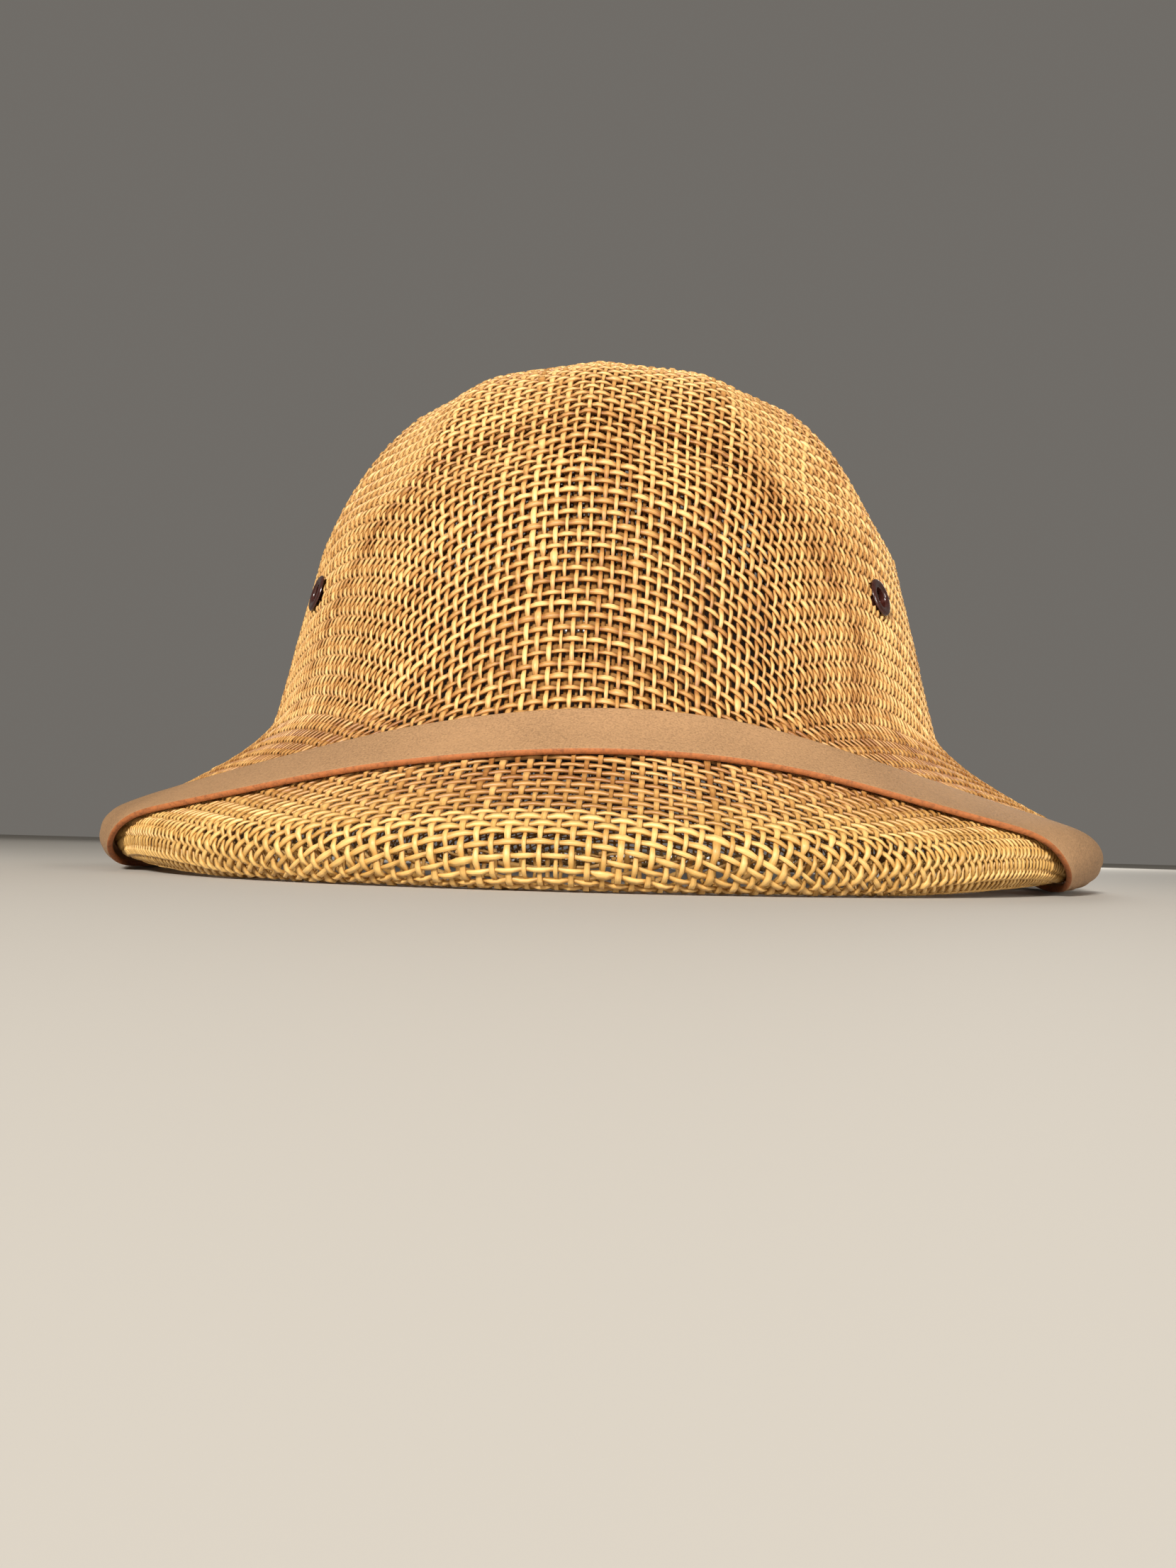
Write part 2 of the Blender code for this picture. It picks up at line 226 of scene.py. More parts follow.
class SkinTable:
    """Points of the shell's outer skin by distance from the apex and azimuth from the front."""

    def __init__(self, tucked):
        az = np.linspace(0.0, 2.0 * math.pi, TABLE_AZIMUTHS, endpoint=False)
        rows = [crown_point(np.full(len(az), u), az) for u in np.linspace(0.0, 1.0, CROWN_ROWS)]
        rows += [brim_point(np.full(len(az), u), az) for u in np.linspace(0.0, 1.0, 90)[1:]]
        to_side = 0.5 * math.pi - RIM_SLOPE
        rows += [roll_point(RIM_SLOPE + to_side * u, az) for u in np.linspace(0.0, 1.0, 20)[1:]]
        self.rim_row = len(rows) - 1
        if tucked:
            rows += [roll_point(0.5 * math.pi * (1.0 + u), az) for u in np.linspace(0.0, 1.0, 20)[1:]]
            inset = RIM_ROLL_R
            for u in np.linspace(0.0, 1.0, 8)[1:]:
                half_w = RIM_HALF_W - inset - HEM * u
                half_l = RIM_HALF_L - inset - HEM * u
                rows.append(oval(half_w, half_l, rim_lift(az), az))
            inset = RIM_ROLL_R + HEM
            curl = 0.0042
            for u in np.linspace(0.0, 1.0, 24)[1:]:
                a = math.pi * 0.94 * u
                shift = inset + curl * math.sin(a)
                height = rim_lift(az) + curl * (1.0 - math.cos(a))
                rows.append(oval(RIM_HALF_W - shift, RIM_HALF_L - shift, height, az))
        else:
            edge = rows[-1]
            for k in range(1, 140):
                lower = edge.copy()
                lower[:, 2] -= TABLE_STEP * k
                rows.append(lower)
        grid = np.stack(rows)
        run = np.linalg.norm(np.diff(grid, axis=0), axis=-1).mean(axis=1)
        run = np.concatenate([[0.0], np.cumsum(run)])
        self.rim_at = run[self.rim_row]
        self.base_at = run[CROWN_ROWS - 1]
        self.end_at = run[-1]
        count = int(run[-1] / TABLE_STEP) + 1
        at = np.linspace(0.0, run[-1], count)
        self.step = at[1]
        points = np.empty((count, len(az), 3))
        for a in range(len(az)):
            for c in range(3):
                points[:, a, c] = np.interp(at, run, grid[:, a, c])
        base = int(self.base_at / self.step)
        for _ in range(6):
            part = points[base - 12 : base + 13]
            part[1:-1] = 0.25 * part[:-2] + 0.5 * part[1:-1] + 0.25 * part[2:]
        self.points = points
        around = np.roll(points, -1, axis=1) - np.roll(points, 1, axis=1)
        along = np.gradient(points, axis=0)
        normals = unit(np.cross(along, around))
        normals[0] = (0.0, 0.0, 1.0)
        self.normals = normals

    def blend(self, table, p, q):
        r = np.hypot(p, q)
        a = np.arctan2(p, -q) % (2.0 * math.pi)
        i = np.clip(r / self.step, 0.0, len(table) - 1.001)
        i0 = i.astype(int)
        u = (i - i0)[..., None]
        j = a / (2.0 * math.pi) * TABLE_AZIMUTHS
        v = (j - np.floor(j))[..., None]
        j0 = j.astype(int) % TABLE_AZIMUTHS
        j1 = (j0 + 1) % TABLE_AZIMUTHS
        near = table[i0, j0] * (1.0 - u) + table[i0 + 1, j0] * u
        far = table[i0, j1] * (1.0 - u) + table[i0 + 1, j1] * u
        return near * (1.0 - v) + far * v

    def at(self, p, q):
        return self.blend(self.points, p, q)

    def normal(self, p, q):
        return unit(self.blend(self.normals, p, q))


def relax_net(skin, p, q, blank, pitch, rounds, bend=0.4, shear=0.006, rate=0.10):
    """Slides the crossings over the skin until the cords keep their pitch and stay fair."""
    probe = 0.0008
    links = []
    for turned in (blank, blank.T):
        links.append((turned[1:] & turned[:-1], turned[2:] & turned[1:-1] & turned[:-2]))
    for _ in range(rounds):
        x = skin.at(p, q)
        force = np.zeros_like(x)
        for y, g, (pair, triple) in (
            (x, force, links[0]),
            (x.transpose(1, 0, 2), force.transpose(1, 0, 2), links[1]),
        ):
            step = np.diff(y, axis=0)
            length = np.linalg.norm(step, axis=-1, keepdims=True) + 1e-12
            pull = step * (1.0 - pitch / length) * pair[..., None]
            g[:-1] += pull
            g[1:] -= pull
            kink = (y[2:] - 2.0 * y[1:-1] + y[:-2]) * triple[..., None]
            g[1:-1] += 2.0 * bend * kink
            g[:-2] -= bend * kink
            g[2:] -= bend * kink
        for y, g, held in ((x, force, blank), (x[:, ::-1], force[:, ::-1], blank[:, ::-1])):
            step = y[1:, 1:] - y[:-1, :-1]
            length = np.linalg.norm(step, axis=-1, keepdims=True) + 1e-12
            pull = step * (1.0 - math.sqrt(2.0) * pitch / length) * shear
            pull = pull + step * np.minimum(0.0, 1.0 - 0.56 * pitch / length) * 0.6
            pull = pull * (held[1:, 1:] & held[:-1, :-1])[..., None]
            g[:-1, :-1] += pull
            g[1:, 1:] -= pull
        du = (skin.at(p + probe, q) - skin.at(p - probe, q)) / (2.0 * probe)
        dv = (skin.at(p, q + probe) - skin.at(p, q - probe)) / (2.0 * probe)
        a = (du * du).sum(-1) + 1e-3
        b = (du * dv).sum(-1)
        c = (dv * dv).sum(-1) + 1e-3
        gu = (du * force).sum(-1)
        gv = (dv * force).sum(-1)
        det = a * c - b * b + 1e-4
        move_p = (c * gu - b * gv) / det * rate
        move_q = (a * gv - b * gu) / det * rate
        cap = np.minimum(1.0, 0.4 * pitch / (np.hypot(move_p, move_q) + 1e-12))
        p = p + move_p * cap
        q = q + move_q * cap
    return p, q


def finer(grid):
    out = np.empty((2 * grid.shape[0] - 1, 2 * grid.shape[1] - 1))
    out[::2, ::2] = grid
    out[1::2, ::2] = 0.5 * (grid[1:] + grid[:-1])
    out[:, 1::2] = 0.5 * (out[:, :-2:2] + out[:, 2::2])
    return out


def lattice(across, along, stride):
    """Numbers of the crossings both ways from the middle, one in each stride."""
    rows = np.arange(-across, across + 1, stride)
    columns = np.arange(-along, along + 1, stride)
    return np.meshgrid(rows, columns, indexing="ij")


def drape_net(pitch, across, along, half_w, half_l):
    """Crossings of a flat oval of open weave pressed over the shell, and which of them the oval holds."""
    skin = SkinTable(False)
    stride = 8
    u, v = lattice(across, along, stride)
    p = u * pitch
    q = v * pitch
    for level, rounds in ((8, 2200), (4, 450), (2, 90), (1, 24)):
        while stride > level:
            p = finer(p)
            q = finer(q)
            stride //= 2
        u, v = lattice(across, along, stride)
        blank = (u * pitch / half_w) ** 2 + (v * pitch / half_l) ** 2 <= 1.0 + 0.5 * stride * pitch / half_l
        p, q = relax_net(skin, p, q, blank, pitch * stride, rounds)
    return p, q, blank


def between(grid, t):
    """Values a share t of a step after each crossing, on a smooth line along axis 1."""
    before = np.concatenate([2 * grid[:, :1] - grid[:, 1:2], grid[:, :-1]], axis=1)
    after = np.concatenate([grid[:, 1:], 2 * grid[:, -1:] - grid[:, -2:-1]], axis=1)
    late = np.concatenate([after[:, 1:], 2 * after[:, -1:] - after[:, -2:-1]], axis=1)
    a = -0.5 * before + 1.5 * grid - 1.5 * after + 0.5 * late
    b = before - 2.5 * grid + 2.0 * after - 0.5 * late
    c = -0.5 * before + 0.5 * after
    return ((a * t + b) * t + c) * t + grid


def first_half(grid):
    """Marks the first half of the cords of a family."""
    half = np.arange(grid.shape[0]) < grid.shape[0] // 2
    return np.broadcast_to(half[:, None], grid.shape)


def second_half(grid):
    return ~first_half(grid)


def every_cord(grid):
    return np.ones(grid.shape, dtype=bool)


def soft_noise(random, shape, knots):
    """Smooth random rows between -1 and 1."""
    count, length = shape
    base = random.uniform(-1.0, 1.0, (count, knots))
    at = np.linspace(0.0, knots - 1.001, length)
    i = at.astype(int)
    t = smooth(at - i)
    return base[:, i] * (1.0 - t) + base[:, i + 1] * t


def eyelet_seat(side):
    """Point and outward normal of the skin where an eyelet sits."""
    az = EYELET_AZ * side
    shares = np.linspace(0.3, 1.0, 1401)
    heights = np.array([crown_point(s, np.array(az))[2] for s in shares])
    share = float(shares[np.abs(heights - EYELET_Z).argmin()])
    point = crown_point(share, np.array(az))
    down = crown_point(share + 0.02, np.array(az)) - crown_point(share - 0.02, np.array(az))
    around = crown_point(share, np.array(az + 0.04)) - crown_point(share, np.array(az - 0.04))
    return Vector(point), Vector(unit(np.cross(down, around)))


def frame_at(point, normal):
    turn = Vector((0.0, 0.0, 1.0)).rotation_difference(normal)
    return Matrix.Translation(point) @ turn.to_matrix().to_4x4()


def node(tree, kind, **values):
    made = tree.nodes.new(kind)
    for name, value in values.items():
        setattr(made, name, value)
    return made


def link(tree, output, target):
    tree.links.new(output, target)


def put(item, slot_name, *nodes):
    """Ties a finished piece to the part: body and the nodes it stands for, which it hides; slot_name is not
    used.
    """
    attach(item, "root")
    if nodes:
        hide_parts(*nodes)
    return item


def mesh_object(name, vertices, faces, materials, material_index=None, uv=None, shade_smooth=True):
    mesh = bpy.data.meshes.new(name)
    mesh.from_pydata([tuple(map(float, v)) for v in vertices], [], faces)
    for material in materials:
        mesh.materials.append(material)
    if material_index is not None:
        mesh.polygons.foreach_set("material_index", material_index)
    mesh.polygons.foreach_set("use_smooth", [shade_smooth] * len(mesh.polygons))
    if uv is not None:
        layer = mesh.uv_layers.new(name="UVMap")
        layer.data.foreach_set("uv", np.asarray(uv, dtype=np.float32).ravel())
    mesh.update()
    item = bpy.data.objects.new(name, mesh)
    bpy.context.scene.collection.objects.link(item)
    return item


def new_material(name):
    material = bpy.data.materials.new(name)
    material.use_nodes = True
    tree = material.node_tree
    return material, tree, tree.nodes["Principled BSDF"]


def ramp(tree, factor, stops):
    """Colour ramp with (position, colour) stops."""
    made = node(tree, "ShaderNodeValToRGB")
    band = made.color_ramp
    while len(band.elements) < len(stops):
        band.elements.new(0.5)
    for element, (position, color) in zip(band.elements, stops):
        element.position = position
        element.color = (*color, 1.0)
    link(tree, factor, made.inputs["Fac"])
    return made.outputs["Color"]


def maths(tree, operation, a, b=None, c=None, clamp=False):
    made = node(tree, "ShaderNodeMath", operation=operation, use_clamp=clamp)
    for socket, value in zip(made.inputs, (a, b, c)):
        if value is None:
            continue
        if isinstance(value, (int, float)):
            socket.default_value = value
        else:
            link(tree, value, socket)
    return made.outputs[0]


def mix_color(tree, factor, a, b, blend="MIX"):
    made = node(tree, "ShaderNodeMix", data_type="RGBA", blend_type=blend)
    for name, value in (("Factor_Float", factor), ("A_Color", a), ("B_Color", b)):
        socket = next(s for s in made.inputs if s.identifier == name)
        if isinstance(value, (int, float)):
            socket.default_value = value
        elif isinstance(value, (tuple, list)):
            socket.default_value = (*value, 1.0)
        else:
            link(tree, value, socket)
    return next(s for s in made.outputs if s.identifier == "Result_Color")


def noise(tree, vector, scale, detail=3.0, roughness=0.5):
    made = node(tree, "ShaderNodeTexNoise")
    made.inputs["Scale"].default_value = scale
    made.inputs["Detail"].default_value = detail
    made.inputs["Roughness"].default_value = roughness
    link(tree, vector, made.inputs["Vector"])
    return made.outputs[0]


def stretched(tree, vector, scale):
    made = node(tree, "ShaderNodeMapping")
    made.inputs["Scale"].default_value = scale
    link(tree, vector, made.inputs["Vector"])
    return made.outputs["Vector"]


def straw_material(colors):
    """Twisted straw-paper cord: tone from cord to cord, fibres along it, a dull waxed sheen, and painted
    shade where a cord dives under a crossing, on the brim slope, towards the apex and on the inner ply.
    """
    material, tree, shader = new_material("straw cord")
    tone = node(tree, "ShaderNodeAttribute", attribute_name="tone").outputs["Fac"]
    rim = node(tree, "ShaderNodeAttribute", attribute_name="rim").outputs["Fac"]
    over = node(tree, "ShaderNodeAttribute", attribute_name="over").outputs["Fac"]
    shade = node(tree, "ShaderNodeAttribute", attribute_name="shade").outputs["Fac"]
    uv = node(tree, "ShaderNodeUVMap", uv_map="UVMap").outputs["UV"]
    place = node(tree, "ShaderNodeTexCoord").outputs["Object"]
    fibre = noise(tree, stretched(tree, uv, (260.0, 5.0, 1.0)), 1.0, 4.0, 0.6)
    blotch = noise(tree, place, 38.0, 2.0)
    mixed = maths(tree, "MULTIPLY_ADD", maths(tree, "SUBTRACT", blotch, 0.5), 0.55, tone)
    mixed = maths(tree, "MULTIPLY_ADD", maths(tree, "SUBTRACT", fibre, 0.5), 0.60, mixed)
    # Painted shade: a cord is darker where it dives under a crossing and lighter where it lies over one.
    mixed = maths(tree, "MULTIPLY_ADD", over, 0.24, mixed, clamp=True)
    dark = tuple(colors.straw_dark)
    mid = tuple(colors.straw_mid)
    light = tuple(colors.straw_light)
    color = ramp(tree, mixed, ((0.0, dark), (0.45, mid), (1.0, light)))
    color = mix_color(tree, maths(tree, "MULTIPLY", rim, 0.45), color, tuple(colors.straw_rim))
    # Painted shade: the inner ply, the same straw as the outer one, is mixed towards a darker brown as it
    # lies in the outer ply's shade.
    color = mix_color(tree, maths(tree, "MULTIPLY", shade, 0.82), color, tuple(colors.straw_inner_shade))
    link(tree, color, shader.inputs["Base Color"])
    rough = maths(tree, "MULTIPLY_ADD", fibre, 0.25, 0.32)
    link(tree, rough, shader.inputs["Roughness"])
    bump = node(tree, "ShaderNodeBump")
    bump.inputs["Strength"].default_value = 0.45
    bump.inputs["Distance"].default_value = 0.00025
    link(tree, fibre, bump.inputs["Height"])
    link(tree, bump.outputs["Normal"], shader.inputs["Normal"])
    link(tree, maths(tree, "MULTIPLY_ADD", shade, -0.45, 0.50), shader.inputs["Specular IOR Level"])
    return material


def leather_material(colors):
    """Matte tan leather face with a fine pebble grain."""
    material, tree, shader = new_material("strap leather")
    place = node(tree, "ShaderNodeTexCoord").outputs["Object"]
    grain = noise(tree, place, 1900.0, 3.0, 0.6)
    pores = noise(tree, place, 800.0, 2.0, 0.5)
    cloud = noise(tree, place, 30.0, 3.0)
    face = tuple(colors.leather_face)
    deep = tuple(0.66 * c for c in face)
    pale = tuple(min(1.0, 1.22 * c) for c in face)
    mixed = maths(tree, "MULTIPLY_ADD", grain, 0.70, maths(tree, "MULTIPLY", cloud, 0.30))
    color = ramp(tree, mixed, ((0.34, deep), (0.50, face), (0.66, pale)))
    link(tree, color, shader.inputs["Base Color"])
    shader.inputs["Roughness"].default_value = 0.62
    shader.inputs["Specular IOR Level"].default_value = 0.35
    bump = node(tree, "ShaderNodeBump")
    bump.inputs["Strength"].default_value = 0.6
    bump.inputs["Distance"].default_value = 0.0002
    link(tree, maths(tree, "ADD", grain, pores), bump.inputs["Height"])
    link(tree, bump.outputs["Normal"], shader.inputs["Normal"])
    return material


def raw_edge_material(colors):
    """Cut edge of the strap: orange-brown fibres with darker flecks."""
    material, tree, shader = new_material("strap raw edge")
    place = node(tree, "ShaderNodeTexCoord").outputs["Object"]
    fibre = noise(tree, place, 900.0, 4.0, 0.7)
    edge = tuple(colors.leather_edge)
    dark = tuple(0.55 * c for c in edge)
    color = ramp(tree, fibre, ((0.30, dark), (0.50, edge), (0.80, tuple(min(1.0, 1.3 * c) for c in edge))))
    link(tree, color, shader.inputs["Base Color"])
    shader.inputs["Roughness"].default_value = 0.75
    bump = node(tree, "ShaderNodeBump")
    bump.inputs["Strength"].default_value = 0.5
    bump.inputs["Distance"].default_value = 0.0002
    link(tree, fibre, bump.inputs["Height"])
    link(tree, bump.outputs["Normal"], shader.inputs["Normal"])
    return material


def enamel_material(colors):
    """Dark brown lacquer over metal with faint wear on the lip."""
    material, tree, shader = new_material("eyelet enamel")
    place = node(tree, "ShaderNodeTexCoord").outputs["Object"]
    wear = noise(tree, place, 700.0, 3.0, 0.6)
    base = tuple(colors.eyelet)
    color = ramp(tree, wear, ((0.35, base), (0.80, tuple(min(1.0, 1.9 * c) for c in base))))
    link(tree, color, shader.inputs["Base Color"])
    link(tree, maths(tree, "MULTIPLY_ADD", wear, 0.20, 0.16), shader.inputs["Roughness"])
    shader.inputs["Coat Weight"].default_value = 0.6
    shader.inputs["Coat Roughness"].default_value = 0.12
    return material


def cloth_material(colors):
    """Dark band cloth with a fine twill."""
    material, tree, shader = new_material("band cloth")
    uv = node(tree, "ShaderNodeUVMap", uv_map="UVMap").outputs["UV"]
    twill = node(tree, "ShaderNodeTexWave", wave_type="BANDS", bands_direction="DIAGONAL")
    twill.inputs["Scale"].default_value = 260.0
    twill.inputs["Distortion"].default_value = 0.6
    link(tree, uv, twill.inputs["Vector"])
    base = tuple(colors.band)
    color = ramp(tree, twill.outputs["Fac"], ((0.1, tuple(0.6 * c for c in base)), (0.9, base)))
    link(tree, color, shader.inputs["Base Color"])
    shader.inputs["Roughness"].default_value = 0.85
    shader.inputs["Sheen Weight"].default_value = 0.2
    bump = node(tree, "ShaderNodeBump")
    bump.inputs["Strength"].default_value = 0.4
    bump.inputs["Distance"].default_value = 0.0002
    link(tree, twill.outputs["Fac"], bump.inputs["Height"])
    link(tree, bump.outputs["Normal"], shader.inputs["Normal"])
    return material


def steel_material():
    """Plain turned steel for the hidden pins."""
    material, tree, shader = new_material("pin steel")
    place = node(tree, "ShaderNodeTexCoord").outputs["Object"]
    rings = noise(tree, place, 900.0, 2.0, 0.5)
    color = ramp(tree, rings, ((0.3, (0.30, 0.29, 0.27)), (0.7, (0.45, 0.43, 0.40))))
    link(tree, color, shader.inputs["Base Color"])
    shader.inputs["Metallic"].default_value = 1.0
    link(tree, maths(tree, "MULTIPLY_ADD", rings, 0.2, 0.3), shader.inputs["Roughness"])
    return material


def floor_material(colors):
    material, tree, shader = new_material("pale floor")
    shader.inputs["Base Color"].default_value = (*tuple(colors.floor), 1.0)
    shader.inputs["Roughness"].default_value = 0.8
    shader.inputs["Specular IOR Level"].default_value = 0.2
    return material


def cord_tree():
    """Geometry Nodes: lifts each line over and under, then sweeps a flat cord along it."""
    tree = bpy.data.node_groups.new("Woven Cord", "GeometryNodeTree")
    face = tree.interface
    face.new_socket("Geometry", in_out="INPUT", socket_type="NodeSocketGeometry")
    inputs = {}
    for name, kind, default in (
        ("Cord Width", "NodeSocketFloat", 0.0015),
        ("Cord Thickness", "NodeSocketFloat", 0.0008),
        ("Wave Height", "NodeSocketFloat", 0.0004),
        ("Cord Sides", "NodeSocketInt", 4),
        ("Material", "NodeSocketMaterial", None),
    ):
        socket = face.new_socket(name, in_out="INPUT", socket_type=kind)
        if default is not None:
            socket.default_value = default
        inputs[name] = socket.identifier
    face.new_socket("Geometry", in_out="OUTPUT", socket_type="NodeSocketGeometry")
    source = node(tree, "NodeGroupInput").outputs
    target = node(tree, "NodeGroupOutput").inputs["Geometry"]

    normal = node(tree, "GeometryNodeInputNamedAttribute", data_type="FLOAT_VECTOR")
    normal.inputs["Name"].default_value = "outward"
    over = node(tree, "GeometryNodeInputNamedAttribute", data_type="FLOAT")
    over.inputs["Name"].default_value = "over"
    size = node(tree, "GeometryNodeInputNamedAttribute", data_type="FLOAT")
    size.inputs["Name"].default_value = "size"

    lift = node(tree, "ShaderNodeMath", operation="MULTIPLY")
    link(tree, source["Wave Height"], lift.inputs[0])
    link(tree, over.outputs["Attribute"], lift.inputs[1])
    offset = node(tree, "ShaderNodeVectorMath", operation="SCALE")
    link(tree, normal.outputs["Attribute"], offset.inputs[0])
    link(tree, lift.outputs[0], offset.inputs["Scale"])
    move = node(tree, "GeometryNodeSetPosition")
    link(tree, source["Geometry"], move.inputs["Geometry"])
    link(tree, offset.outputs["Vector"], move.inputs["Offset"])
    line = node(tree, "GeometryNodeMeshToCurve")
    link(tree, move.outputs[0], line.inputs[0])
    turned = node(tree, "GeometryNodeSetCurveNormal", mode="FREE")
    link(tree, line.outputs[0], turned.inputs["Curve"])
    link(tree, normal.outputs["Attribute"], turned.inputs["Normal"])

    along = node(tree, "GeometryNodeCaptureAttribute")
    along.capture_items.new("FLOAT", "Length")
    length = node(tree, "GeometryNodeSplineParameter")
    link(tree, turned.outputs[0], along.inputs["Geometry"])
    link(tree, length.outputs["Length"], along.inputs["Length"])

    ring = node(tree, "GeometryNodeCurvePrimitiveCircle", mode="RADIUS")
    link(tree, source["Cord Sides"], ring.inputs["Resolution"])
    ring.inputs["Radius"].default_value = 0.5
    flat = node(tree, "ShaderNodeCombineXYZ")
    link(tree, source["Cord Thickness"], flat.inputs["X"])
    link(tree, source["Cord Width"], flat.inputs["Y"])
    flat.inputs["Z"].default_value = 1.0
    squared = node(tree, "GeometryNodeTransform")
    squared.inputs["Rotation"].default_value = (0.0, 0.0, math.radians(45.0))
    squared.inputs["Scale"].default_value = (1.3, 1.3, 1.0)
    link(tree, ring.outputs["Curve"], squared.inputs["Geometry"])
    squeezed = node(tree, "GeometryNodeTransform")
    link(tree, squared.outputs[0], squeezed.inputs["Geometry"])
    link(tree, flat.outputs[0], squeezed.inputs["Scale"])
    round_it = node(tree, "GeometryNodeCaptureAttribute")
    round_it.capture_items.new("FLOAT", "Factor")
    turn = node(tree, "GeometryNodeSplineParameter")
    link(tree, squeezed.outputs[0], round_it.inputs["Geometry"])
    link(tree, turn.outputs["Factor"], round_it.inputs["Factor"])

    sweep = node(tree, "GeometryNodeCurveToMesh")
    sweep.inputs["Fill Caps"].default_value = True
    link(tree, along.outputs["Geometry"], sweep.inputs["Curve"])
    link(tree, round_it.outputs["Geometry"], sweep.inputs["Profile Curve"])
    link(tree, size.outputs["Attribute"], sweep.inputs["Scale"])

    pair = node(tree, "ShaderNodeCombineXYZ")
    link(tree, along.outputs["Length"], pair.inputs["X"])
    link(tree, round_it.outputs["Factor"], pair.inputs["Y"])
    store = node(tree, "GeometryNodeStoreNamedAttribute", data_type="FLOAT2", domain="CORNER")
    store.inputs["Name"].default_value = "UVMap"
    link(tree, sweep.outputs["Mesh"], store.inputs["Geometry"])
    link(tree, pair.outputs[0], store.inputs["Value"])
    shade = node(tree, "GeometryNodeSetShadeSmooth")
    link(tree, store.outputs[0], shade.inputs[0])
    real = node(tree, "GeometryNodeRealizeInstances")
    link(tree, shade.outputs[0], real.inputs[0])
    paint = node(tree, "GeometryNodeSetMaterial")
    link(tree, real.outputs[0], paint.inputs["Geometry"])
    link(tree, source["Material"], paint.inputs["Material"])
    link(tree, paint.outputs[0], target)
    return tree, inputs


def run_nodes(item, tree, inputs, values):
    """Evaluates the tree on the object and keeps the result as its plain mesh."""
    step = item.modifiers.new("Woven Cord", "NODES")
    step.node_group = tree
    for name, value in values.items():
        step[inputs[name]] = value
    item.update_tag()
    graph = bpy.context.evaluated_depsgraph_get()
    mesh = bpy.data.meshes.new_from_object(item.evaluated_get(graph))
    item.modifiers.remove(step)
    old = item.data
    item.data = mesh
    bpy.data.meshes.remove(old)
    mesh.name = item.name
    for extra in ("outward", "size"):
        layer = mesh.attributes.get(extra)
        if layer is not None:
            mesh.attributes.remove(layer)
    return item


